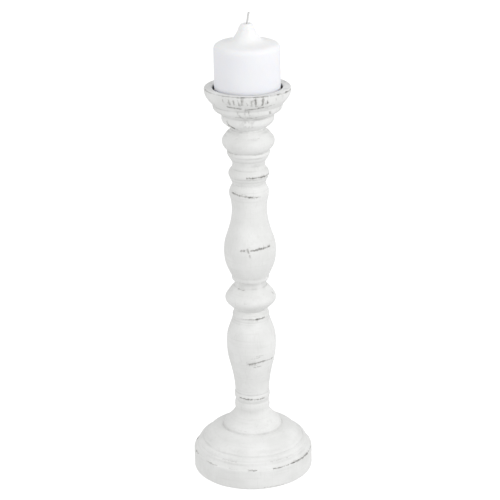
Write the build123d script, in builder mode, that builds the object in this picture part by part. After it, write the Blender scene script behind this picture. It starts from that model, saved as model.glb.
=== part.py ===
"""A turned, whitewashed wooden candlestick with a pillar candle on its pricket.

The stem stands on +Z. The origin is on the table, under the middle of the foot. Millimetres.
Five turned sections are stacked and glued at the bottoms of their grooves: foot, lower baluster,
upper baluster, neck spool and candle cup. A tenon and a screw hold the stem in the foot, and
dowels hold the rest. A lacquered steel pan lines the cup, held down by the flange of the spike.
"""

import os

from build123d import *

# ---- driving dimensions ----
rim_height = 400.0
rim_radius = 41.6
rim_arris = 0.9
foot_radius = 60.0

# Felt pads lift the wood off the table.
pad_thickness = 1.0
pad_radius = 6.0
pad_circle = 47.0
pad_count = 4

# Heights where the turned sections meet.
foot_top = 74.4
centre_joint = 173.4
spool_joint = 304.2
cup_joint = 359.9

# The tenon of the lower baluster in the foot, and the screw that pulls it down.
tenon_radius = 10.9
socket_radius = 11.0
socket_floor = 40.0
tenon_bottom = 41.0
well_radius = 10.0
well_top = 24.0
screw_radius = 2.5
screw_tip = 66.0
screw_head_radius = 5.0
screw_head_height = 3.2
pilot_radius = 2.6
pilot_top = 68.0
washer_radius = 8.5
washer_thickness = 1.5

# Dowels between the upper sections.
dowel_radius = 5.0
dowel_hole_radius = 5.1
dowel_chamfer = 0.8
dowel_end_gap = 1.0
dowel_reach = {
    "centre_dowel": (centre_joint, 20.0, 20.0),
    "spool_dowel": (spool_joint, 18.0, 16.0),
    "cup_dowel": (cup_joint, 16.0, 10.0),
}

# The candle recess in the cup, its pan and the spike.
recess_radius = 33.8
recess_floor = 388.0
pan_radius = 33.6
pan_wall = 0.8
pan_top = 398.4
flange_radius = 7.0
flange_thickness = 1.2
shank_radius = 2.0
shank_length = 13.0
spike_radius = 2.6
spike_height = 28.0

# The candle.
candle_radius = 31.7
candle_shoulder = 437.0
candle_gap = 0.1
spike_clearance = 0.4
wick_radius = 0.95
wick_hole_radius = 1.0
wick_bottom = 424.0
wick_exit = 458.0
wick_tip = (1.6, 471.6)

pan_floor = recess_floor + pan_wall
candle_bottom = pan_floor + candle_gap
flange_top = pan_floor + flange_thickness
spike_shoulder = flange_top + 6.0
spike_tip = flange_top + spike_height

os.makedirs("parts", exist_ok=True)


def bore(radius, low, high):
    """A round hole on the axis, from one height to another, cut from the current part."""
    with Locations((0, 0, (low + high) / 2)):
        Cylinder(radius, high - low, mode=Mode.SUBTRACT)


def dowel_bore(name, above):
    """The half of a dowel's hole that is above its joint, or the half below it."""
    joint, reach_below, reach_above = dowel_reach[name]
    if above:
        bore(dowel_hole_radius, joint, joint + reach_above + dowel_end_gap)
    else:
        bore(dowel_hole_radius, joint - reach_below - dowel_end_gap, joint)


def save(name, label):
    """Labels a finished piece and writes it to its own file."""
    name.part.label = label
    export_step(name.part, f"parts/{label}.step")


# ---- foot: a thick disc, a bead, a domed shoulder, a raised collar and the start of the neck ----
with BuildPart() as foot:
    with BuildSketch(Plane.XZ):
        with BuildLine():
            base = Line((0, pad_thickness), (foot_radius - 2.0, pad_thickness))
            heel = RadiusArc(base @ 1, (foot_radius, pad_thickness + 2.0), -2.0)
            wall = Line(heel @ 1, (foot_radius, 21.0))
            arris = RadiusArc(wall @ 1, (foot_radius - 1.2, 22.2), -1.2)
            ledge = Line(arris @ 1, (58.4, 22.4))
            cove = RadiusArc(ledge @ 1, (55.8, 27.6), 7.0)
            step = Polyline(cove @ 1, (55.6, 28.3), (54.7, 28.7))
            bead = ThreePointArc(step @ 1, (54.0, 30.8), (51.6, 32.4))
            quirk = Line(bead @ 1, (50.2, 32.8))
            dome = Spline(
                quirk @ 1, (47.9, 35.8), (44.0, 39.8), (38.6, 43.2), (29.4, 46.2),
                tangents=((-0.3, 1), (-1, 0.15)),
            )
            collar = ThreePointArc(dome @ 1, (28.2, 50.0), (25.6, 52.8))
            ogee = Spline(
                collar @ 1, (22.4, 56.2), (19.2, 60.2), (17.1, 65.6),
                tangents=((-0.9, 0.9), (0, 1)),
            )
            neck_bead = ThreePointArc(ogee @ 1, (17.5, 69.2), (16.8, 73.0))
            neck_rise = Line(neck_bead @ 1, (16.4, foot_top))
            Polyline(neck_rise @ 1, (0, foot_top), base @ 0)
        make_face()
    revolve(axis=Axis.Z)
    bore(socket_radius, socket_floor, foot_top)
    bore(well_radius, pad_thickness, well_top)
    bore(pilot_radius, well_top, socket_floor)
save(foot, "foot")

# ---- lower baluster: a tenon, a bead at the neck, the vase and its collar ----
with BuildPart() as lower_baluster:
    with BuildSketch(Plane.XZ):
        with BuildLine():
            tenon = Polyline(
                (0, tenon_bottom),
                (tenon_radius - 1.0, tenon_bottom),
                (tenon_radius, tenon_bottom + 1.0),
                (tenon_radius, foot_top),
                (16.4, foot_top),
            )
            rise = Line(tenon @ 1, (16.8, 76.0))
            neck_bead = ThreePointArc(rise @ 1, (17.8, 79.8), (17.0, 84.0))
            vase = Spline(
                neck_bead @ 1, (17.3, 90.0), (20.6, 110.0), (23.9, 125.5),
                (24.6, 137.0), (23.2, 150.4), (19.4, 161.4), (18.1, 166.8),
                tangents=((0, 1), (-0.15, 1)),
            )
            arris = Line(vase @ 1, (18.5, 167.3))
            collar = Spline(arris @ 1, (17.9, 169.4), (16.5, 171.8), tangents=((-0.1, 1), (-0.7, 1)))
            groove = Line(collar @ 1, (15.8, centre_joint))
            Polyline(groove @ 1, (0, centre_joint), tenon @ 0)
        make_face()
    revolve(axis=Axis.Z)
    bore(pilot_radius, tenon_bottom, pilot_top)
    dowel_bore("centre_dowel", above=False)
save(lower_baluster, "lower_baluster")

# ---- upper baluster: the centre knop, a fillet ring, the vase and the collar bead at its top ----
with BuildPart() as upper_baluster:
    with BuildSketch(Plane.XZ):
        with BuildLine():
            joint_face = Line((0, centre_joint), (15.8, centre_joint))
            knop = Spline(
                joint_face @ 1, (20.6, 178.0), (23.8, 181.4), (25.2, 185.8),
                (23.3, 190.2), (20.6, 194.0), (16.6, 198.2),
                tangents=((0.9, 1), (-1, 0.9)),
            )
            cove = ThreePointArc(knop @ 1, (15.8, 201.0), (17.6, 204.4))
            ring = Polyline(cove @ 1, (18.4, 205.6), (18.5, 208.8))
            vase = Spline(
                ring @ 1, (21.4, 215.0), (24.1, 222.0), (25.5, 231.0), (25.2, 242.0),
                (20.6, 257.6), (17.6, 271.5), (18.4, 289.0),
                tangents=((0.5, 1), (0.2, 1)),
            )
            bead = ThreePointArc(vase @ 1, (19.5, 295.2), (18.0, 300.0))
            hollow = Spline(bead @ 1, (16.7, 302.6), (16.2, spool_joint), tangents=((-0.6, 1), (0, 1)))
            Polyline(hollow @ 1, (0, spool_joint), joint_face @ 0)
        make_face()
    revolve(axis=Axis.Z)
    dowel_bore("centre_dowel", above=True)
    dowel_bore("spool_dowel", above=False)
save(upper_baluster, "upper_baluster")

# ---- neck spool: a bead, a groove, a flaring collar and the ball ----
with BuildPart() as neck_spool:
    with BuildSketch(Plane.XZ):
        with BuildLine():
            joint_face = Line((0, spool_joint), (16.2, spool_joint))
            lower_hollow = Spline(joint_face @ 1, (17.2, 307.0), (18.2, 309.0), tangents=((0, 1), (0.5, 1)))
            bead_underside = ThreePointArc(lower_hollow @ 1, (19.2, 311.4), (19.9, 314.0))
            bead_top = ThreePointArc(bead_underside @ 1, (19.3, 316.4), (18.2, 318.4))
            groove = ThreePointArc(bead_top @ 1, (15.9, 323.8), (16.8, 327.2))
            flare = Spline(
                groove @ 1, (19.4, 331.6), (20.7, 334.6), (20.4, 338.2),
                tangents=((0.6, 1), (0, 1)),
            )
            ball = Spline(
                flare @ 1, (24.0, 342.0), (25.4, 346.8), (23.3, 352.0),
                (19.6, 356.2), (16.2, cup_joint - 1.2),
                tangents=((1, 0.9), (-1, 0.8)),
            )
            rise = Line(ball @ 1, (15.8, cup_joint))
            Polyline(rise @ 1, (0, cup_joint), joint_face @ 0)
        make_face()
    revolve(axis=Axis.Z)
    dowel_bore("spool_dowel", above=True)
    dowel_bore("cup_dowel", above=False)
save(neck_spool, "neck_spool")

# ---- candle cup: a collar, a stepped underside, a flat rim and the recess ----
with BuildPart() as candle_cup:
    with BuildSketch(Plane.XZ):
        with BuildLine():
            joint_face = Line((0, cup_joint), (15.8, cup_joint))
            collar = Spline(
                joint_face @ 1, (21.8, 363.6), (24.9, 367.0), (25.4, 371.6),
                tangents=((1, 0.3), (0, 1)),
            )
            shelf = Line(collar @ 1, (25.2, 373.6))
            tier = Spline(shelf @ 1, (28.4, 375.9), (32.6, 378.8), (33.7, 382.4), tangents=((1, 0.5), (0, 1)))
            step = Line(tier @ 1, (33.9, 384.2))
            flank = Spline(
                step @ 1, (37.6, 388.2), (40.4, 392.4), (rim_radius, rim_height - rim_arris),
                tangents=((0.8, 1), (0, 1)),
            )
            arris = RadiusArc(flank @ 1, (rim_radius - rim_arris, rim_height), -rim_arris)
            Polyline(arris @ 1, (0, rim_height), joint_face @ 0)
        make_face()
    revolve(axis=Axis.Z)
    bore(recess_radius, recess_floor, rim_height)
    dowel_bore("cup_dowel", above=True)
    bore(shank_radius + 0.1, recess_floor - shank_length - 1.0, recess_floor)
save(candle_cup, "candle_cup")

# ---- dowels ----
for label, (joint, reach_below, reach_above) in dowel_reach.items():
    with BuildPart() as dowel:
        with Locations((0, 0, joint - reach_below)):
            Cylinder(dowel_radius, reach_below + reach_above, align=(Align.CENTER, Align.CENTER, Align.MIN))
        chamfer(dowel.edges().filter_by(GeomType.CIRCLE), dowel_chamfer)
    save(dowel, label)

# ---- foot screw and its washer ----
head_top = well_top - washer_thickness
head_bottom = head_top - screw_head_height
with BuildPart() as foot_screw:
    with BuildSketch(Plane.XZ):
        with BuildLine():
            crown = Line((0, head_bottom), (2.4, head_bottom))
            dome = ThreePointArc(crown @ 1, (4.3, head_top - 2.4), (screw_head_radius, head_top))
            Polyline(
                dome @ 1,
                (screw_radius, head_top),
                (screw_radius, screw_tip - 6.0),
                (0, screw_tip),
                crown @ 0,
            )
        make_face()
    revolve(axis=Axis.Z)
    with BuildSketch(Plane.XY.offset(head_bottom)):
        Rectangle(4.4, 0.9)
        Rectangle(0.9, 4.4)
    extrude(amount=1.6, mode=Mode.SUBTRACT)
save(foot_screw, "foot_screw")

with BuildPart() as screw_washer:
    with Locations((0, 0, well_top - washer_thickness / 2)):
        Cylinder(washer_radius, washer_thickness)
        Cylinder(screw_radius + 0.3, washer_thickness, mode=Mode.SUBTRACT)
save(screw_washer, "screw_washer")

# ---- drip pan: a shallow lacquered dish that lines the recess ----
with BuildPart() as drip_pan:
    with Locations((0, 0, (recess_floor + pan_top) / 2)):
        Cylinder(pan_radius, pan_top - recess_floor)
    fillet(drip_pan.edges().sort_by(Axis.Z)[0], 1.2)
    bore(pan_radius - pan_wall, pan_floor, pan_top)
    bore(shank_radius + 0.1, recess_floor, pan_floor)
save(drip_pan, "drip_pan")

# ---- candle spike: a pricket on a round flange, with a screw shank below ----
with BuildPart() as candle_spike:
    with BuildSketch(Plane.XZ):
        with BuildLine():
            Polyline(
                (0, recess_floor - shank_length),
                (shank_radius, recess_floor - shank_length + 4.0),
                (shank_radius, pan_floor),
                (flange_radius, pan_floor),
                (flange_radius, flange_top),
                (spike_radius, flange_top),
                (spike_radius, spike_shoulder),
                (0, spike_tip),
                close=True,
            )
        make_face()
    revolve(axis=Axis.Z)
save(candle_spike, "candle_spike")

# ---- felt pads ----
with PolarLocations(pad_circle, pad_count, start_angle=45) as pad_places:
    pad_centres = [place.position for place in pad_places.locations]
for index, centre in enumerate(pad_centres, start=1):
    with BuildPart() as felt_pad:
        with Locations(centre + Vector(0, 0, pad_thickness / 2)):
            Cylinder(pad_radius, pad_thickness)
    save(felt_pad, f"felt_pad_{index}")

# ---- candle: a pillar of wax, hollowed by its own spike, with a melted peak round the wick ----
with BuildPart() as candle_body:
    with BuildSketch(Plane.XZ):
        with BuildLine():
            base = Line((0, candle_bottom), (candle_radius - 1.0, candle_bottom))
            side = Polyline(base @ 1, (candle_radius, candle_bottom + 1.0), (candle_radius, candle_shoulder))
            shoulder = Spline(
                side @ 1, (30.4, 440.4), (23.8, 442.8), (15.0, 445.2),
                (10.6, 450.4), (7.8, 456.2), (6.1, 459.4),
                tangents=((0, 1), (-1, 1.6)),
            )
            peak = ThreePointArc(shoulder @ 1, (4.7, 460.6), (2.4, 459.9))
            Polyline(peak @ 1, (0, 459.9), base @ 0)
        make_face()
    revolve(axis=Axis.Z)
    bore(flange_radius + spike_clearance, candle_bottom, candle_bottom + flange_thickness + spike_clearance)
    bore(wick_hole_radius, wick_bottom, 462.0)
    with BuildSketch(Plane.XZ):
        with BuildLine():
            Polyline(
                (0, candle_bottom),
                (spike_radius + spike_clearance, candle_bottom),
                (spike_radius + spike_clearance, spike_shoulder),
                (0, spike_tip + 4.0),
                close=True,
            )
        make_face()
    revolve(axis=Axis.Z, mode=Mode.SUBTRACT)
save(candle_body, "candle_body")

# ---- wick: straight up through the wax, leaning a little where it is free ----
with BuildPart() as candle_wick:
    with BuildLine() as wick_path:
        inside = Line((0, 0, wick_bottom), (0, 0, wick_exit))
        TangentArc(inside @ 1, (wick_tip[0], 0, wick_tip[1]), tangent=inside % 1)
    with BuildSketch(Plane.XY.offset(wick_bottom)):
        Circle(wick_radius)
    sweep(path=wick_path.wires()[0])
save(candle_wick, "candle_wick")
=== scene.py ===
"""The looks of a whitewashed wooden candlestick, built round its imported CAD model.

Metres, in the row's frame: the stem stands on +Z and the camera looks along +Y.
The outline of each turned section is read from its CAD node, lathed again at a finer pitch, and
then worn, so that every piece keeps the size and the place of the solid that it stands for.
Azimuths are in degrees round +Z from +X, so that -90 faces the camera.
"""

import itertools
import math

import bmesh
import bpy
import numpy as np
from mathutils import Matrix, Vector


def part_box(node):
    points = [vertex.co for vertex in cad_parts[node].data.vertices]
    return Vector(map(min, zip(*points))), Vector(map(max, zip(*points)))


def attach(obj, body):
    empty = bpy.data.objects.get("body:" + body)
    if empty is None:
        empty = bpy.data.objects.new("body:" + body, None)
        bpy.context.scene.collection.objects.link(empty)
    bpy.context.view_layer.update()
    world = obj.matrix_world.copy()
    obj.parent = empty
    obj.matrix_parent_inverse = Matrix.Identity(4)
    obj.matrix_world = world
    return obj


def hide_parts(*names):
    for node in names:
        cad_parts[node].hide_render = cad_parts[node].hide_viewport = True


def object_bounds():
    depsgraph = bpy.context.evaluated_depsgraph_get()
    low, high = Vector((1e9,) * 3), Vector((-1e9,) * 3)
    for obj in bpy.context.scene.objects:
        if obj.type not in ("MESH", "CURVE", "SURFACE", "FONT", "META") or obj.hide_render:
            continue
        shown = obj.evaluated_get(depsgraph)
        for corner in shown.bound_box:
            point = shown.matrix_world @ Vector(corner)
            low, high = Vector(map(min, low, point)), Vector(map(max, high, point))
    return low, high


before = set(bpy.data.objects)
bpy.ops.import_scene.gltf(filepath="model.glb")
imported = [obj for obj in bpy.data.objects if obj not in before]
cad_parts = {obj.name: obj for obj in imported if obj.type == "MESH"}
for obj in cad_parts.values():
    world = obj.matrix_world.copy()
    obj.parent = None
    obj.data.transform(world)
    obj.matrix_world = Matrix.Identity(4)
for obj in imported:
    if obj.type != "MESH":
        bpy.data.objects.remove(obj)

cad_low, cad_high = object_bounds()
MM = 0.001

# ---- camera ----
CAMERA_PLACE = (0.0, -1.600, 0.8316)
CAMERA_PITCH = 20.48
CAMERA_ROLL = -0.90
CAMERA_LENS = 125.2
CAMERA_SENSOR = 36.0

# ---- turned wood ----
# Inside this radius a section keeps its plain CAD bores, and near its joints its skin isn't moved.
WOOD_CORE = 15.0 * MM
JOINT_FADE = 1.5 * MM
# How far the skin is moved at most: by hand turning, by tool chatter, by brush strokes and by wear.
WOBBLE_DEPTH = 0.16 * MM
DRIFT = 0.35 * MM
TOOL_DEPTH = 0.07 * MM
BRUSH_DEPTH = 0.035 * MM
WEAR_DEPTH = 0.20 * MM


# ---- random fields ----
class ValueNoise:
    """Smooth random values from -1 to 1 in space: a lattice of seeded numbers and a blend between them."""

    SIZE = 48

    def __init__(self, seed):
        self.lattice = np.random.default_rng(seed).uniform(-1.0, 1.0, (self.SIZE,) * 3)

    def __call__(self, points, feature):
        """The value at each point, for features of that size along x, y and z, in metres."""
        scaled = points / np.broadcast_to(feature, (3,))
        base = np.floor(scaled).astype(int)
        blend = scaled - base
        blend = blend * blend * (3.0 - 2.0 * blend)
        total = np.zeros(len(points))
        for corner in itertools.product((0, 1), repeat=3):
            weight = np.ones(len(points))
            for axis, side in enumerate(corner):
                weight *= blend[:, axis] if side else 1.0 - blend[:, axis]
            cell = (base + corner) % self.SIZE
            total += weight * self.lattice[cell[:, 0], cell[:, 1], cell[:, 2]]
        return total

    def layered(self, points, feature, octaves=3):
        """Several sizes of feature added up, each half as large and half as strong as the one before."""
        feature = np.broadcast_to(feature, (3,))
        levels = [self(points + 0.37 * level, feature / 2**level) / 2**level for level in range(octaves)]
        return sum(levels) / sum(0.5**level for level in range(octaves))


def smooth(low, high, values):
    """0 below low, 1 above high, and an S curve between."""
    share = np.clip((values - low) / (high - low), 0.0, 1.0)
    return share * share * (3.0 - 2.0 * share)


# ---- outlines ----
def section(node):
    """The cut of a turned CAD node with a half plane through the axis, and whether it is a closed loop.

    Its (radius, height) points are in walking order, from the axis to the axis, or all round if the node
    has a hole right through.
    """
    angle = 0.2137
    outward = Vector((math.cos(angle), math.sin(angle), 0.0))
    cut = bmesh.new()
    cut.from_mesh(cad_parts[node].data)
    bmesh.ops.remove_doubles(cut, verts=cut.verts, dist=1e-6)
    bmesh.ops.bisect_plane(
        cut,
        geom=cut.verts[:] + cut.edges[:] + cut.faces[:],
        plane_co=(0.0, 0.0, 0.0),
        plane_no=(-outward.y, outward.x, 0.0),
        clear_inner=True,
        clear_outer=True,
    )
    links = {}
    for edge in cut.edges:
        ends = [(vert.co.dot(outward), vert.co.z) for vert in edge.verts]
        if max(end[0] for end in ends) < 1e-7:
            continue
        keys = []
        for (radius, height), (other_radius, other_height) in (ends, ends[::-1]):
            if radius < 0.0:
                height += (other_height - height) * radius / (radius - other_radius)
                radius = 0.0
            keys.append((round(radius, 6), round(height, 6)))
        if keys[0] != keys[1]:
            links.setdefault(keys[0], set()).add(keys[1])
            links.setdefault(keys[1], set()).add(keys[0])
    cut.free()
    ends = sorted(key for key, near in links.items() if len(near) == 1)
    walk = [ends[0] if ends else min(links)]
    seen = set(walk)
    while True:
        following = [key for key in links[walk[-1]] if key not in seen]
        if not following:
            break
        walk.append(min(following))
        seen.add(walk[-1])
    outline = np.array(walk)
    closed = not ends
    area = np.sum(outline[:, 0] * np.roll(outline[:, 1], -1) - np.roll(outline[:, 0], -1) * outline[:, 1])
    return (outline if area > 0.0 else outline[::-1]), closed


def corners_only(points):
    """The points of a line without those that lie on the straight run between their neighbours."""
    kept = [points[0]]
    for before, here, after in zip(points, points[1:], points[2:]):
        chord = after - before
        offset = abs(chord[0] * (here - before)[1] - chord[1] * (here - before)[0])
        if offset > 2e-6 * math.hypot(*chord):
            kept.append(here)
    kept.append(points[-1])
    return np.array(kept)


def travel(points):
    """The distance walked along a line to each of its points."""
    return np.concatenate([[0.0], np.cumsum(np.hypot(*np.diff(points, axis=0).T))])


def resample(points, pitch, soften):
    """The same line with evenly spaced points and its corners rounded a little. Its ends stay in place."""
    walked = travel(points)
    count = int(walked[-1] / pitch) + 1
    places = np.linspace(0.0, walked[-1], count)
    line = np.column_stack([np.interp(places, walked, points[:, axis]) for axis in (0, 1)])
    reach = int(math.ceil(3.0 * soften / pitch))
    kernel = np.exp(-0.5 * (np.arange(-reach, reach + 1) * pitch / soften) ** 2)
    kernel /= kernel.sum()
    padded = np.vstack([2.0 * line[0] - line[reach:0:-1], line, 2.0 * line[-1] - line[-2:-reach - 2:-1]])
    return np.column_stack([np.convolve(padded[:, axis], kernel, "valid") for axis in (0, 1)])


def outline_normals(points):
    """Unit normals to a line of (radius, height) points, on the side away from the solid."""
    along = np.gradient(points, axis=0)
    along /= np.maximum(np.hypot(*along.T), 1e-12)[:, None]
    return np.column_stack([along[:, 1], -along[:, 0]])


class Turning:
    """A turned section's visible skin, as a grid of rings and segments, and the plain bores inside it."""

    def __init__(self, node, pitch, segments, soften=0.4 * MM, core=WOOD_CORE, coarse_below=None):
        outline, closed = section(node)
        outside = outline[:, 0] >= core
        if closed:
            start = int(np.flatnonzero(outside & ~np.roll(outside, 1))[0])
            outline = np.roll(outline, -start, axis=0)
            outside = np.roll(outside, -start)
            first, last = 0, int(np.flatnonzero(outside)[-1])
        else:
            first, last = (int(index) for index in np.flatnonzero(outside)[[0, -1]])
        skin = outline[first:last + 1]
        if coarse_below is not None:
            split = int(np.flatnonzero(skin[:, 1] > coarse_below)[0]) - 1
            flat = resample(skin[:split + 1], 6.0 * pitch, soften)
            skin = np.vstack([flat[:-1], resample(skin[split:], pitch, soften)])
        else:
            skin = resample(skin, pitch, soften)
        before = outline[:first]
        after = outline[last + 1:]
        self.closed = closed
        self.before = corners_only(before) if len(before) > 1 else before
        self.after = corners_only(after) if len(after) > 1 else after
        self.skin = skin
        self.segments = segments
        self.node = node
        self.azimuth = np.arange(segments) * 2.0 * math.pi / segments
        self.walked = travel(skin)
        self.normals = outline_normals(skin)
        cosine, sine = np.cos(self.azimuth), np.sin(self.azimuth)
        radius, height = skin[:, 0][:, None], skin[:, 1][:, None]
        level = np.broadcast_to(height, (len(skin), segments))
        self.points = np.stack([radius * cosine, radius * sine, level], -1)
        self.flat_points = self.points.reshape(-1, 3)
        ends = np.minimum(self.walked, self.walked[-1] - self.walked)
        self.free = smooth(0.0, JOINT_FADE, ends)[:, None]
        self.bend = self.curvature()

    def grid(self, values):
        return values.reshape(len(self.skin), self.segments)

    def curvature(self):
        """How convex the skin is along its outline, per metre, averaged over about a millimetre."""
        turn = np.gradient(np.unwrap(np.arctan2(self.normals[:, 1], self.normals[:, 0])))
        step = np.maximum(np.gradient(self.walked), 1e-7)
        kernel = np.hanning(7)
        return np.convolve(turn / step, kernel / kernel.sum(), "same")

    def place_of(self, height):
        """Where along the skin its outer side passes a height."""
        top = int(np.argmax(self.skin[:, 1])) + 1
        rising = np.maximum.accumulate(self.skin[:top, 1]) + np.arange(top) * 1e-9
        return np.interp(height, rising, self.walked[:top])

    def mesh(self, name, depth, attributes, drift=0.0):
        """The whole section as an object. In metres, depth moves the skin out and drift moves it along."""
        along = np.column_stack([-self.normals[:, 1], self.normals[:, 0]])
        shift = self.normals[:, None, :] * (depth * self.free)[:, :, None]
        shift = shift + along[:, None, :] * (drift * self.free)[:, :, None]
        radius = self.skin[:, 0][:, None] + shift[:, :, 0]
        height = self.skin[:, 1][:, None] + shift[:, :, 1]
        rings = [(np.full(self.segments, r), np.full(self.segments, z), None) for r, z in self.before]
        rings += [(radius[i], height[i], i) for i in range(len(self.skin))]
        rings += [(np.full(self.segments, r), np.full(self.segments, z), None) for r, z in self.after]
        return lathe(name, rings, self.azimuth, self.closed, attributes)


def lathe(name, rings, azimuth, closed, attributes):
    """A closed mesh from rings of (radii, heights, row of the attribute grids or None).

    A ring of radius 0 is a pole, and closed joins the last ring to the first.
    """
    segments = len(azimuth)
    vertices, rows, starts = [], [], []
    for radii, heights, row in rings:
        starts.append((sum(len(block) for block in vertices), radii[0] < 1e-6))
        if starts[-1][1]:
            vertices.append(np.array([[0.0, 0.0, heights[0]]]))
            rows.append([None])
        else:
            vertices.append(np.column_stack([radii * np.cos(azimuth), radii * np.sin(azimuth), heights]))
            rows.append([row])
    faces = []
    here = np.arange(segments)
    there = (here + 1) % segments
    pairs = list(zip(starts, starts[1:])) + ([(starts[-1], starts[0])] if closed else [])
    for (low, low_pole), (high, high_pole) in pairs:
        if low_pole:
            faces += np.column_stack([np.full(segments, low), high + there, high + here]).tolist()
        elif high_pole:
            faces += np.column_stack([low + here, low + there, np.full(segments, high)]).tolist()
        else:
            faces += np.column_stack([low + here, low + there, high + there, high + here]).tolist()
    mesh = bpy.data.meshes.new(name)
    mesh.from_pydata(np.vstack(vertices).tolist(), [], faces)
    mesh.polygons.foreach_set("use_smooth", [True] * len(faces))
    for label, grid in attributes.items():
        values = []
        for block, (row,) in zip(vertices, rows):
            values.append(np.zeros(len(block)) if row is None else grid[row])
        layer = mesh.attributes.new(label, "FLOAT", "POINT")
        layer.data.foreach_set("value", np.concatenate(values).astype(np.float32))
    mesh.update()
    return link(bpy.data.objects.new(name, mesh))


def link(piece):
    bpy.context.scene.collection.objects.link(piece)
    return piece


# ---- worn paint ----
# Each stroke has a paler halo, this many times as wide and as strong.
HALO_WIDTH = 2.8
HALO_STRENGTH = 0.50

# Each stroke of wear is (height, azimuth) at its start and at its end, then its half width and its strength.
# Heights and widths are in mm. These strokes face the front, and wear_field() repeats them round the back.
STROKES = {
    "candle_cup": [
        (399.8, -168, 399.8, -140, 0.50, 0.58),
        (399.9, -136, 399.9, -100, 0.50, 0.62),
        (399.9, -104, 399.9, -66, 0.66, 0.90),
        (399.8, -68, 399.5, -46, 0.50, 0.66),
        (399.5, -49, 398.9, -30, 0.50, 0.70),
        (399.0, -29, 398.6, -10, 0.60, 0.80),
        (396.0, -124, 393.6, -123, 0.67, 0.45),
        (397.2, -116, 392.4, -114, 0.76, 0.66),
        (396.2, -109, 392.6, -108, 0.63, 0.74),
        (397.2, -103, 392.2, -101, 0.67, 0.66),
        (396.4, -97, 392.4, -98, 0.84, 0.76),
        (394.6, -91, 392.4, -90, 0.67, 0.55),
        (396.2, -85, 391.4, -85, 1.01, 0.58),
        (397.6, -80, 391.0, -79, 0.71, 0.93),
        (397.8, -70, 391.6, -70, 0.80, 1.00),
        (395.4, -64, 393.0, -63, 0.76, 0.61),
        (396.0, -50, 394.4, -49, 0.59, 0.36),
        (389.6, -119, 388.0, -100, 0.84, 0.70),
        (386.8, -93, 388.6, -68, 0.84, 0.76),
        (388.6, -68, 389.8, -50, 0.50, 0.48),
        (384.8, -89, 380.6, -87, 0.76, 0.55),
        (384.0, -74, 381.0, -73, 0.70, 0.40),
        (382.8, -106, 378.4, -102, 0.90, 0.48),
        (377.6, -112, 377.0, -74, 0.68, 0.62),
        (381.8, -52, 379.8, -50, 0.81, 0.60),
        (366.0, -137, 363.2, -129, 1.10, 1.15),
        (369.8, -142, 366.4, -136, 0.65, 0.66),
    ],
    "neck_spool": [
        (314.0, -96, 314.0, -62, 0.65, 0.74),
        (314.0, -64, 314.0, -30, 0.60, 0.92),
        (314.0, -32, 314.0, -4, 0.60, 0.88),
        (312.0, -100, 311.6, -70, 0.50, 0.36),
        (354.0, -120, 354.2, -60, 0.30, 0.34),
        (337.4, -156, 337.2, -118, 0.50, 0.42),
        (337.4, -80, 337.2, -40, 0.40, 0.34),
    ],
    "upper_baluster": [
        (297.4, -149, 296.6, -128, 0.62, 0.82),
        (296.5, -127, 295.6, -106, 0.70, 0.88),
        (295.6, -104, 294.6, -80, 0.62, 0.92),
        (294.6, -76, 294.4, -58, 0.55, 0.55),
        (242.4, -88, 242.9, -72, 0.70, 0.90),
        (243.3, -70, 243.2, -58, 0.80, 0.95),
        (243.2, -56, 243.6, -40, 0.62, 0.90),
        (241.8, -110, 242.6, -104, 1.00, 0.72),
        (243.6, -96, 240.4, -93, 0.75, 0.60),
        (237.8, -91, 235.4, -90, 0.70, 0.52),
        (205.4, -130, 205.2, -96, 0.40, 0.40),
        (191.8, -18, 190.6, -15, 0.70, 0.55),
        (198.2, -146, 197.6, -110, 0.45, 0.50),
        (186.4, -124, 186.6, -92, 0.35, 0.32),
    ],
    "lower_baluster": [
        (167.3, -122, 167.3, -96, 0.40, 0.42),
        (167.3, -97, 167.3, -72, 0.42, 0.70),
        (167.3, -73, 167.3, -44, 0.48, 0.98),
        (121.2, -95, 121.9, -84, 0.95, 0.84),
        (122.0, -84, 124.0, -60, 0.50, 0.78),
        (124.0, -60, 123.1, -28, 0.46, 0.66),
        (127.4, -90, 128.6, -70, 0.50, 0.40),
        (129.8, -80, 130.4, -60, 0.40, 0.34),
        (117.4, -84, 118.2, -66, 0.50, 0.42),
        (80.6, -134, 80.2, -102, 0.46, 0.92),
        (80.0, -94, 79.8, -48, 0.46, 0.96),
    ],
    "foot": [
        (22.2, -70, 22.2, -48, 0.45, 0.80),
        (22.2, -50, 22.1, -22, 0.52, 0.98),
        (22.2, -20, 22.0, -6, 0.50, 0.45),
        (22.2, -94, 22.2, -87, 0.60, 0.80),
        (22.2, -114, 22.1, -106, 0.50, 0.42),
        (22.1, -142, 22.1, -128, 0.55, 0.50),
        (22.1, -168, 22.1, -160, 0.60, 0.55),
        (28.5, -124, 28.5, -108, 0.45, 0.42),
        (28.5, -72, 28.5, -52, 0.45, 0.40),
        (49.6, -120, 49.4, -100, 0.45, 0.34),
        (3.0, -80, 2.6, -60, 0.60, 0.40),
    ],
}

# The strokes come again after these turns round the axis, in degrees, each shifted by up to the jitter.
# Only those inside the window, which the front doesn't show, are kept.
BACK_TURNS = (105.0, 180.0, 255.0)
BACK_JITTER = 14.0
BACK_WINDOW = (8.0, 172.0)

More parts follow.
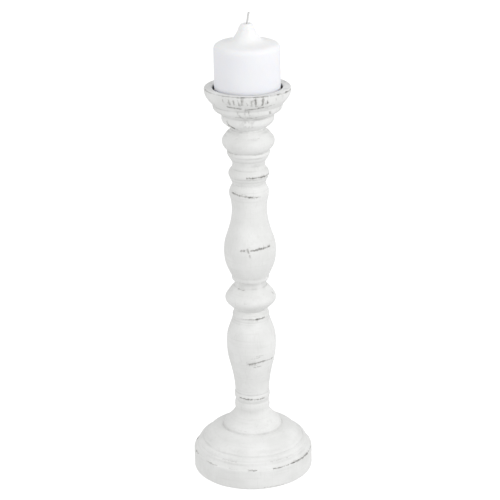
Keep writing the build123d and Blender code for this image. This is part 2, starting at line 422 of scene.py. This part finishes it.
# Shallow rings that the turning tool left: (height, half width, depth) in mm. Below 0 it is a groove.
RINGS = {
    "candle_cup": [(379.4, 0.9, -0.18), (374.6, 0.8, -0.20), (369.2, 0.9, 0.14), (364.8, 0.7, -0.16)],
    "neck_spool": [
        (356.8, 0.9, -0.26), (353.2, 0.7, -0.20), (349.6, 0.8, 0.12), (335.2, 0.9, 0.30),
        (332.9, 0.7, -0.50), (330.6, 0.8, 0.26), (328.4, 0.6, -0.34), (324.0, 0.7, -0.26),
        (319.9, 0.6, -0.24), (311.2, 0.6, -0.26), (308.0, 0.6, -0.40),
    ],
    "upper_baluster": [
        (303.2, 0.6, -0.24), (301.0, 0.7, 0.18), (298.6, 0.6, -0.14), (292.8, 0.9, -0.14),
        (210.2, 0.6, -0.20), (207.4, 0.9, 0.24), (198.9, 0.8, -0.20), (195.6, 0.9, 0.14),
        (178.6, 0.7, -0.20),
    ],
    "lower_baluster": [
        (172.6, 0.5, -0.14), (170.4, 0.6, -0.16), (163.8, 0.7, -0.16), (161.4, 0.6, -0.10),
        (87.6, 0.7, -0.14), (84.4, 0.6, -0.16), (76.4, 0.5, -0.14),
    ],
    "foot": [
        (70.8, 0.6, -0.16), (67.6, 0.7, 0.10), (46.8, 1.2, -0.12), (36.2, 1.4, -0.16), (26.0, 0.7, -0.12),
    ],
}


def stroke_field(turning, stroke, ragged):
    """How strongly a stroke marks each skin point. ragged shifts the points, to roughen its edge."""
    height_1, azimuth_1, height_2, azimuth_2, half_width, strength = stroke
    place_1, place_2 = turning.place_of(height_1 * MM), turning.place_of(height_2 * MM)
    middle = math.radians((azimuth_1 + azimuth_2) / 2.0)
    reach = math.radians(azimuth_2 - azimuth_1) / 2.0
    turned = (turning.azimuth - middle + math.pi) % (2.0 * math.pi) - math.pi
    radius = turning.skin[:, 0][:, None]
    share = np.clip((turned / max(abs(reach), 1e-3) * np.sign(reach or 1.0) + 1.0) / 2.0, 0.0, 1.0)
    if abs(reach) * radius.max() < abs(place_2 - place_1) / 2.0:
        span = place_2 - place_1
        share = np.clip((turning.walked[:, None] - place_1) / span, 0.0, 1.0)
        across = radius * (turned[None, :] - reach * (2.0 * share - 1.0))
        along = turning.walked[:, None] - (place_1 + span * share)
    else:
        across = turning.walked[:, None] - (place_1 + (place_2 - place_1) * share)[None, :]
        along = radius * np.maximum(np.abs(turned) - abs(reach), 0.0)[None, :]
    distance = np.hypot(across + ragged[0], along + ragged[1]) / (half_width * MM)
    return strength * np.exp(-0.5 * (distance / 1.1) ** 2)


def wear_field(turning, seed):
    """Worn paint on a turned section, from 0 to 1: strokes, their halos, and faint rubbing on each arris."""
    noise = ValueNoise(seed)
    points = turning.flat_points
    ragged = [turning.grid(noise.layered(points + offset, 2.0 * MM)) * 0.55 * MM for offset in (0.0, 0.11)]
    patchy = turning.grid(noise.layered(points + 0.31, 4.0 * MM, 4))
    broken = turning.grid(noise.layered(points + 0.53, (1.1 * MM, 1.1 * MM, 3.0 * MM), 2))
    random = np.random.default_rng(seed)
    strokes = list(STROKES[turning.node])
    for height_1, azimuth_1, height_2, azimuth_2, half_width, strength in STROKES[turning.node]:
        for turn in BACK_TURNS:
            shift = turn + random.uniform(-BACK_JITTER, BACK_JITTER)
            start, end = azimuth_1 + shift, azimuth_2 + shift
            strength_there = strength * random.uniform(0.6, 1.1)
            if BACK_WINDOW[0] < start and end < BACK_WINDOW[1]:
                strokes.append((height_1, start, height_2, end, half_width, strength_there))
    wear = np.zeros((len(turning.skin), turning.segments))
    halo = np.zeros_like(wear)
    for stroke in strokes:
        wide = (*stroke[:4], stroke[4] * HALO_WIDTH, stroke[5] * HALO_STRENGTH)
        wear = np.maximum(wear, stroke_field(turning, stroke, ragged))
        halo = np.maximum(halo, stroke_field(turning, wide, ragged))
    wear *= 0.82 + 0.55 * patchy + 0.50 * broken
    halo *= smooth(-0.45, 0.55, patchy + 0.5 * broken)
    arris = smooth(120.0, 700.0, turning.bend)[:, None]
    rubbed = arris * smooth(0.05, 0.75, patchy) * 0.40
    return np.clip(np.maximum.reduce([wear, halo, rubbed]), 0.0, 1.0) * turning.free


def ring_field(turning, noise):
    """The tool's rings in metres, fading in and out round the turn as they do under uneven paint."""
    rings = np.zeros((len(turning.skin), turning.segments))
    for index, (height, half_width, depth) in enumerate(RINGS[turning.node]):
        distance = (turning.walked - turning.place_of(height * MM)) / (half_width * MM)
        places = turning.flat_points + 0.7 * index
        present = turning.grid(noise.layered(places, (22 * MM, 22 * MM, 60 * MM), 2))
        rings += np.exp(-0.5 * distance**2)[:, None] * smooth(-0.45, 0.25, present) * depth * MM
    return rings


def turned_piece(node, pitch, segments, seed, smudged=0.20, shaded_hollows=1.0, lumpy=0.0, **shape):
    """A turned, painted and worn section that stands for its CAD node.

    smudged is how grey its paint is in rubbed patches, creased is how dark the painted shade in its hollows
    is, and lumpy is how much further than elsewhere its shape wanders above its wall.
    """
    turning = Turning(node, pitch * MM, segments, **shape)
    noise = ValueNoise(seed + 100)
    points = turning.flat_points
    wear = wear_field(turning, seed)
    wobble = turning.grid(noise.layered(points, (26 * MM, 26 * MM, 14 * MM), 2))
    tool = turning.grid(noise.layered(points, (70 * MM, 70 * MM, 3.0 * MM), 2))
    drift = turning.grid(noise.layered(points + 0.6, (24 * MM, 24 * MM, 9 * MM), 2)) * DRIFT
    brush = turning.grid(noise.layered(points + 0.2, (1.6 * MM, 1.6 * MM, 9 * MM), 2))
    uneven = 1.0 + lumpy * smooth(24.0 * MM, 38.0 * MM, turning.skin[:, 1])[:, None]
    rings = ring_field(turning, noise)
    depth = wobble * uneven * WOBBLE_DEPTH + tool * TOOL_DEPTH + brush * BRUSH_DEPTH
    depth = depth - wear * WEAR_DEPTH + rings
    # Painted shade: the outline's hollows and the tool's sunk rings are greyed in colour where shade falls;
    # the smudges are grey patches of the paint itself.
    hollow_shade = smooth(60.0, 420.0, -turning.bend)[:, None] * shaded_hollows
    cloud = turning.grid(noise.layered(points + 0.9, (9 * MM, 9 * MM, 7 * MM), 2))
    fleck = turning.grid(noise.layered(points + 1.3, (1.6 * MM, 1.6 * MM, 2.6 * MM), 2))
    smudge = smooth(-0.10, 0.45, cloud) * smooth(-0.25, 0.55, fleck)
    ring_shade = smooth(0.0, 0.30 * MM, -rings)
    shade_and_smudge = np.clip(hollow_shade + 0.8 * ring_shade + smudged * smudge, 0.0, 1.0) * turning.free
    piece = turning.mesh(f"{node}_turned", depth, {"wear": wear, "shade_and_smudge": shade_and_smudge}, drift * uneven)
    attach(piece, "holder")
    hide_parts(node)
    piece.data.materials.append(WHITEWASH)


# ---- materials ----
# The heights between which the wax turns from its cool side colour to its lighter top colour, painted light
# on the upward-facing top, in metres.
WAX_LIT_TOP = (0.433, 0.446)


class Recipe:
    """A material whose nodes are added and linked by short calls. A value is a number, colour or socket."""

    def __init__(self, name):
        self.material = bpy.data.materials.new(name)
        self.material.use_nodes = True
        self.tree = self.material.node_tree
        self.shader = next(node for node in self.tree.nodes if node.type == "BSDF_PRINCIPLED")
        self.place = self.node("ShaderNodeTexCoord").outputs["Object"]

    def node(self, kind, **settings):
        made = self.tree.nodes.new(kind)
        for key, value in settings.items():
            setattr(made, key, value)
        return made

    def put(self, socket, value):
        if isinstance(value, bpy.types.NodeSocket):
            self.tree.links.new(value, socket)
        elif isinstance(value, (tuple, list)) and len(value) == 3 and socket.type == "RGBA":
            socket.default_value = (*value, 1.0)
        else:
            socket.default_value = value

    def attribute(self, name):
        return self.node("ShaderNodeAttribute", attribute_name=name).outputs["Fac"]

    def math(self, operation, first, second):
        made = self.node("ShaderNodeMath", operation=operation)
        self.put(made.inputs[0], first)
        self.put(made.inputs[1], second)
        return made.outputs[0]

    def noise(self, per_metre, stretch=(1.0, 1.0, 1.0), detail=2.0, shift=0.0):
        """Random values from 0 to 1. stretch makes the features longer along x, y and z."""
        mapping = self.node("ShaderNodeMapping")
        self.put(mapping.inputs["Vector"], self.place)
        self.put(mapping.inputs["Location"], (shift, shift, shift))
        self.put(mapping.inputs["Scale"], tuple(per_metre / s for s in stretch))
        made = self.node("ShaderNodeTexNoise")
        self.put(made.inputs["Vector"], mapping.outputs[0])
        self.put(made.inputs["Scale"], 1.0)
        self.put(made.inputs["Detail"], detail)
        return made.outputs["Fac"]

    def between(self, value, low, high, start=0.0, end=1.0):
        """Maps low to start and high to end, with a smooth curve between."""
        made = self.node("ShaderNodeMapRange", interpolation_type="SMOOTHSTEP")
        labels = ("Value", "From Min", "From Max", "To Min", "To Max")
        for label, number in zip(labels, (value, low, high, start, end)):
            self.put(made.inputs[label], number)
        return made.outputs[0]

    def mix(self, factor, first, second):
        made = self.node("ShaderNodeMix", data_type="RGBA")
        self.put(made.inputs["Factor"], factor)
        colours = [socket for socket in made.inputs if socket.type == "RGBA"]
        self.put(colours[0], first)
        self.put(colours[1], second)
        return next(socket for socket in made.outputs if socket.type == "RGBA")

    def bump(self, height, distance, strength=1.0):
        made = self.node("ShaderNodeBump")
        self.put(made.inputs["Height"], height)
        self.put(made.inputs["Distance"], distance)
        self.put(made.inputs["Strength"], strength)
        self.put(self.shader.inputs["Normal"], made.outputs[0])

    def set(self, **values):
        for label, value in values.items():
            self.put(self.shader.inputs[label.replace("_", " ")], value)
        return self.material


def whitewash():
    """Thin chalky white paint on turned wood: brushed, grey in smudged patches, with painted shade grey in
    its hollows and tool rings, rubbed to dark wood in spots.
    """
    r = Recipe("whitewash")
    blotch = r.noise(42.0, detail=4.0)
    streak = r.noise(620.0, stretch=(1.0, 1.0, 9.0), detail=3.0, shift=4.0)
    ring = r.noise(520.0, stretch=(30.0, 30.0, 1.0), detail=3.0, shift=9.0)
    grit = r.noise(1500.0, detail=3.0, shift=2.0)
    colour = r.mix(r.between(blotch, 0.32, 0.70), (0.752, 0.755, 0.744), (0.820, 0.823, 0.814))
    colour = r.mix(r.between(streak, 0.52, 0.82, 0.0, 0.38), colour, (0.670, 0.668, 0.650))
    colour = r.mix(r.between(ring, 0.55, 0.80, 0.0, 0.40), colour, (0.665, 0.665, 0.650))
    uneven = r.between(r.noise(70.0, detail=3.0, shift=6.0), 0.36, 0.66, 0.25, 1.0)
    # Painted shade in the hollows and tool rings, together with grey smudges of the paint, darkens the
    # colour here.
    shade_and_smudge = r.math("MULTIPLY", r.attribute("shade_and_smudge"), uneven)
    colour = r.mix(r.math("MULTIPLY", shade_and_smudge, 0.58), colour, (0.450, 0.450, 0.440))
    fibre = r.noise(1300.0, stretch=(1.0, 1.0, 4.0), detail=3.0, shift=7.0)
    torn = r.math("MULTIPLY", r.math("SUBTRACT", r.math("ADD", grit, fibre), 1.0), 0.62)
    worn = r.math("ADD", r.attribute("wear"), torn)
    colour = r.mix(r.between(worn, 0.14, 0.50, 0.0, 0.75), colour, (0.400, 0.396, 0.382))
    core = r.between(worn, 0.46, 0.92, 0.0, 0.92)
    colour = r.mix(core, colour, r.mix(streak, (0.056, 0.054, 0.052), (0.160, 0.152, 0.142)))
    height = r.math("ADD", r.math("MULTIPLY", streak, 0.6), r.math("MULTIPLY", ring, 0.5))
    height = r.math("ADD", height, r.math("MULTIPLY", grit, 0.25))
    height = r.math("SUBTRACT", height, r.math("MULTIPLY", core, 0.8))
    r.bump(height, 0.25 * MM, 0.7)
    roughness = r.math("ADD", r.between(blotch, 0.3, 0.7, 0.52, 0.66), r.math("MULTIPLY", core, 0.2))
    return r.set(Base_Color=colour, Roughness=roughness, Specular_IOR_Level=0.35)


def bare_beech():
    """Pale dowel wood with its grain along the axis."""
    r = Recipe("bare_beech")
    grain = r.noise(900.0, stretch=(1.0, 1.0, 14.0), detail=4.0)
    fleck = r.noise(2200.0, stretch=(1.0, 1.0, 5.0), detail=2.0, shift=5.0)
    colour = r.mix(grain, (0.42, 0.27, 0.15), (0.62, 0.45, 0.28))
    colour = r.mix(r.between(fleck, 0.62, 0.76, 0.0, 0.6), colour, (0.30, 0.17, 0.09))
    r.bump(grain, 0.15 * MM, 0.6)
    return r.set(Base_Color=colour, Roughness=r.between(grain, 0.3, 0.7, 0.55, 0.70))


def black_lacquer():
    """Baked satin lacquer with a light orange peel."""
    r = Recipe("black_lacquer")
    peel = r.noise(900.0, detail=2.0)
    dust = r.noise(260.0, detail=5.0, shift=3.0)
    colour = r.mix(r.between(dust, 0.50, 0.75), (0.014, 0.014, 0.015), (0.035, 0.034, 0.033))
    r.bump(peel, 0.05 * MM, 0.5)
    return r.set(Base_Color=colour, Roughness=r.between(dust, 0.3, 0.7, 0.30, 0.48), Specular_IOR_Level=0.5)


def zinc_steel():
    """Zinc-plated steel, with the faint spangle and the scuffs of a bought screw."""
    r = Recipe("zinc_steel")
    spangle = r.noise(700.0, detail=3.0)
    scuff = r.noise(2600.0, stretch=(1.0, 6.0, 1.0), detail=3.0, shift=6.0)
    colour = r.mix(spangle, (0.46, 0.47, 0.49), (0.66, 0.67, 0.68))
    r.bump(scuff, 0.03 * MM, 0.5)
    return r.set(Base_Color=colour, Metallic=1.0, Roughness=r.between(scuff, 0.3, 0.7, 0.26, 0.46))


def grey_felt():
    """Pressed felt: short fibres lying every way."""
    r = Recipe("grey_felt")
    fibre = r.noise(2400.0, stretch=(4.0, 1.0, 1.0), detail=4.0)
    cross = r.noise(2400.0, stretch=(1.0, 4.0, 1.0), detail=4.0, shift=8.0)
    weave = r.math("MAXIMUM", fibre, cross)
    colour = r.mix(r.between(weave, 0.40, 0.72), (0.17, 0.17, 0.17), (0.36, 0.36, 0.35))
    r.bump(weave, 0.25 * MM, 0.9)
    return r.set(Base_Color=colour, Roughness=0.95, Sheen_Weight=0.35, Sheen_Roughness=0.5)


def candle_wax():
    """Cool white paraffin: smooth, a little translucent and mottled, with painted light on the top: a
    lighter, less blue colour there than on the sides.
    """
    r = Recipe("candle_wax")
    mottle = r.noise(55.0, detail=4.0)
    speck = r.noise(700.0, detail=3.0, shift=2.0)
    height = r.node("ShaderNodeSeparateXYZ")
    r.put(height.inputs[0], r.place)
    # Painted light: the upward-facing top is given a lighter, less blue colour than the sides.
    toward_top = r.between(height.outputs["Z"], *WAX_LIT_TOP)
    side = r.mix(mottle, (0.826, 0.832, 0.864), (0.868, 0.874, 0.906))
    top = r.mix(mottle, (0.845, 0.848, 0.852), (0.885, 0.888, 0.892))
    colour = r.mix(toward_top, side, top)
    r.bump(r.math("ADD", speck, mottle), 0.10 * MM, 0.5)
    return r.set(
        Base_Color=colour,
        Roughness=r.between(mottle, 0.3, 0.7, 0.42, 0.54),
        Subsurface_Weight=0.25,
        Subsurface_Radius=(0.006, 0.005, 0.004),
        Subsurface_Scale=1.0,
        Specular_IOR_Level=0.4,
    )


def wick_cotton():
    """Braided cotton stiffened with wax."""
    r = Recipe("wick_cotton")
    fibre = r.noise(5200.0, stretch=(1.0, 1.0, 5.0), detail=3.0)
    colour = r.mix(fibre, (0.50, 0.50, 0.50), (0.76, 0.76, 0.75))
    r.bump(fibre, 0.10 * MM, 0.8)
    return r.set(Base_Color=colour, Roughness=0.8, Sheen_Weight=0.2)


def paint_cad(material, *nodes):
    """Gives carried-over CAD nodes their material, in every material slot that they have."""
    for name in nodes:
        mesh_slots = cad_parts[name].material_slots
        for mesh_slot in mesh_slots:
            mesh_slot.material = material
        if not mesh_slots:
            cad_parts[name].data.materials.append(material)


# ---- candle ----
def candle():
    """The pillar of wax, with a lumpy melted peak round the wick and a soft, uneven shoulder."""
    low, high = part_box("candle_body")
    core = 1.5 * MM
    turning = Turning("candle_body", 0.5 * MM, 256, soften=0.8 * MM, core=core)
    noise = ValueNoise(41)
    points = turning.flat_points
    height = turning.points[:, :, 2]
    shoulder = high.z - 24.0 * MM
    toward_top = smooth(shoulder - 3.0 * MM, shoulder + 8.0 * MM, height)
    peak = smooth(high.z - 12.0 * MM, high.z - 2.0 * MM, height)
    lumps = turning.grid(noise.layered(points, (9 * MM, 9 * MM, 7 * MM), 3))
    runs = turning.grid(noise.layered(points + 0.4, (3.5 * MM, 3.5 * MM, 14 * MM), 2))
    dimple = turning.grid(noise.layered(points + 0.8, 20 * MM, 2))
    depth = dimple * 0.10 * MM + toward_top * lumps * 0.40 * MM + peak * (lumps * 0.45 + runs * 0.55) * MM
    clear_of_wick = turning.skin[:, 0][:, None] > core
    above_base = (turning.walked > turning.place_of(low.z + 2.0 * MM))[:, None]
    piece = turning.mesh("candle_wax_body", depth * clear_of_wick * above_base, {})
    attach(piece, "candle")
    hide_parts("candle_body")
    piece.data.materials.append(candle_wax())


def tube(path, radius, sides):
    """Rings of points round a path that runs mostly upward, closed with a point at each end."""
    along = np.gradient(path, axis=0)
    along /= np.linalg.norm(along, axis=1)[:, None]
    first = np.cross(along, (0.0, 1.0, 0.0))
    first /= np.linalg.norm(first, axis=1)[:, None]
    second = np.cross(along, first)
    angle = np.arange(sides) * 2.0 * math.pi / sides
    rings = path[:, None, :] + radius[:, None, None] * (
        first[:, None, :] * np.cos(angle)[None, :, None] + second[:, None, :] * np.sin(angle)[None, :, None]
    )
    vertices = [path[0].tolist(), *rings.reshape(-1, 3).tolist(), path[-1].tolist()]
    faces = []
    last = len(vertices) - 1
    for side in range(sides):
        after = (side + 1) % sides
        faces.append((0, 1 + side, 1 + after))
        faces.append((last, last - sides + after, last - sides + side))
        for ring in range(len(path) - 1):
            base = 1 + ring * sides
            faces.append((base + side, base + sides + side, base + sides + after, base + after))
    return vertices, faces


def wick():
    """Three cotton strands twisted together, straight in the wax and a little frayed at the leaning tip."""
    low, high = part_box("candle_wick")
    radius = -low.x
    lean = high.x - radius
    free_length = 13.5 * MM
    exit_height = high.z - free_length
    steps = 150
    height = np.linspace(low.z, high.z - 0.3 * MM, steps)
    free = np.clip((height - exit_height) / free_length, 0.0, 1.0)
    bowed = 0.8 * MM * smooth(0.0, 0.45, free)
    centre = np.column_stack([lean * free**2 + bowed, np.zeros(steps), height])
    vertices, faces = [], []
    strands = 3
    twist_length = 4.2 * MM
    for strand in range(strands):
        angle = (height - low.z) / twist_length * 2.0 * math.pi + strand * 2.0 * math.pi / strands
        splay = 0.46 * radius * (1.0 + 0.25 * smooth(0.8, 1.0, free))
        path = centre + splay[:, None] * np.column_stack([np.cos(angle), np.sin(angle), np.zeros(steps)])
        path[-1, 2] -= 0.35 * MM * strand
        thickness = 0.62 * radius * (1.0 - 0.35 * smooth(0.9, 1.0, free))
        strand_vertices, strand_faces = tube(path, thickness, 10)
        faces += [tuple(index + len(vertices) for index in face) for face in strand_faces]
        vertices += strand_vertices
    mesh = bpy.data.meshes.new("candle_wick_braid")
    mesh.from_pydata(vertices, [], faces)
    mesh.polygons.foreach_set("use_smooth", [True] * len(faces))
    piece = link(bpy.data.objects.new("candle_wick_braid", mesh))
    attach(piece, "candle")
    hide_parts("candle_wick")
    piece.data.materials.append(wick_cotton())


# ---- felt pads ----
def felt_pad(name, material, seed):
    """A stamped felt disc with a soft, slightly fuzzy edge."""
    profile = [
        (0.0, 0.0), (0.5, 0.0), (0.86, 0.0), (0.96, 0.06), (1.0, 0.3),
        (1.0, 0.7), (0.97, 1.0), (0.5, 1.0), (0.0, 1.0),
    ]
    low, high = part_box(name)
    centre = (low + high) / 2.0
    radius = (high.x - low.x) / 2.0
    thickness = high.z - low.z
    noise = ValueNoise(seed)
    segments = 72
    azimuth = np.arange(segments) * 2.0 * math.pi / segments
    rings = []
    for share, rise in profile:
        edge = np.column_stack([np.cos(azimuth), np.sin(azimuth), np.full(segments, rise)]) * radius
        fuzz = noise.layered(edge + 1.0, 0.8 * MM, 2) * 0.12 * MM * (0.0 < rise < 1.0)
        inset = 0.1 * MM if share > 0.9 else 0.0
        radii = np.maximum(share * radius - inset + fuzz, 0.0)
        rings.append((radii, np.full(segments, rise * thickness), None))
    piece = lathe(f"{name}_disc", rings, azimuth, False, {})
    piece.data.transform(Matrix.Translation((centre.x, centre.y, low.z)))
    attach(piece, "holder")
    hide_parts(name)
    piece.data.materials.append(material)


# ---- studio ----
def area_light(name, place, size, watts):
    """A square white light that points at the middle of the candlestick."""
    light = bpy.data.lights.new(name, "AREA")
    light.shape = "SQUARE"
    light.size = size
    light.energy = watts
    lamp = link(bpy.data.objects.new(name, light))
    lamp.location = place
    aim = Vector((0.0, 0.0, (cad_low.z + cad_high.z) / 2.0)) - Vector(place)
    lamp.rotation_euler = aim.to_track_quat("-Z", "Y").to_euler()


def studio():
    """A white ground and air, with a soft light at the right and weaker ones at the left and above."""
    half = 9.0
    mesh = bpy.data.meshes.new("studio_floor")
    corners = [(-half, -half, 0.0), (half, -half, 0.0), (half, half, 0.0), (-half, half, 0.0)]
    mesh.from_pydata(corners, [], [(0, 1, 2, 3)])
    floor = link(bpy.data.objects.new("studio_floor", mesh))
    white = Recipe("studio_white")
    tone = white.noise(3.0)
    white.set(
        Base_Color=white.mix(tone, (0.30, 0.30, 0.30), (0.32, 0.32, 0.32)),
        Roughness=1.0,
        Specular_IOR_Level=0.0,
        Emission_Color=(1.0, 1.0, 1.0),
        Emission_Strength=0.90,
    )
    mesh.materials.append(white.material)
    floor.visible_diffuse = False
    floor.visible_glossy = False

    world = bpy.data.worlds.new("studio_air")
    bpy.context.scene.world = world
    world.use_nodes = True
    tree = world.node_tree
    seen = tree.nodes["Background"]
    seen.inputs["Color"].default_value = (1.0, 1.0, 1.0, 1.0)
    seen.inputs["Strength"].default_value = 1.0
    lit = tree.nodes.new("ShaderNodeBackground")
    lit.inputs["Color"].default_value = (1.0, 1.0, 1.0, 1.0)
    lit.inputs["Strength"].default_value = 0.76
    which = tree.nodes.new("ShaderNodeLightPath")
    blend = tree.nodes.new("ShaderNodeMixShader")
    tree.links.new(which.outputs["Is Camera Ray"], blend.inputs[0])
    tree.links.new(lit.outputs[0], blend.inputs[1])
    tree.links.new(seen.outputs[0], blend.inputs[2])
    tree.links.new(blend.outputs[0], tree.nodes["World Output"].inputs["Surface"])

    area_light("key", (1.4, -1.0, 1.0), 0.9, 12.5)
    area_light("fill", (-1.5, -1.2, 0.7), 1.2, 6.0)
    area_light("top", (0.1, 0.0, 2.0), 1.0, 1.0)
    bpy.context.scene.view_settings.view_transform = "Standard"


def camera():
    data = bpy.data.cameras.new("camera")
    data.sensor_width = CAMERA_SENSOR
    data.lens = CAMERA_LENS
    made = link(bpy.data.objects.new("camera", data))
    pitch = Matrix.Rotation(math.radians(90.0 - CAMERA_PITCH), 4, "X")
    roll = Matrix.Rotation(math.radians(CAMERA_ROLL), 4, "Z")
    made.matrix_world = Matrix.Translation(CAMERA_PLACE) @ pitch @ roll
    bpy.context.scene.camera = made


# ---- the whole candlestick ----
WHITEWASH = whitewash()
turned_piece("foot", 0.50, 360, 1, shaded_hollows=0.45, lumpy=1.6, coarse_below=1.2 * MM)
turned_piece("lower_baluster", 0.45, 288, 2)
turned_piece("upper_baluster", 0.50, 288, 3)
turned_piece("neck_spool", 0.42, 288, 4, smudged=0.30)
turned_piece("candle_cup", 0.50, 360, 5, smudged=1.6)
candle()
wick()

FELT = grey_felt()
pads = sorted(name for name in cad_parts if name.startswith("felt_pad_"))
for order, pad in enumerate(pads):
    felt_pad(pad, FELT, 60 + order)

paint_cad(bare_beech(), "centre_dowel", "spool_dowel", "cup_dowel")
paint_cad(black_lacquer(), "drip_pan")
paint_cad(zinc_steel(), "foot_screw", "screw_washer", "candle_spike")

studio()
camera()
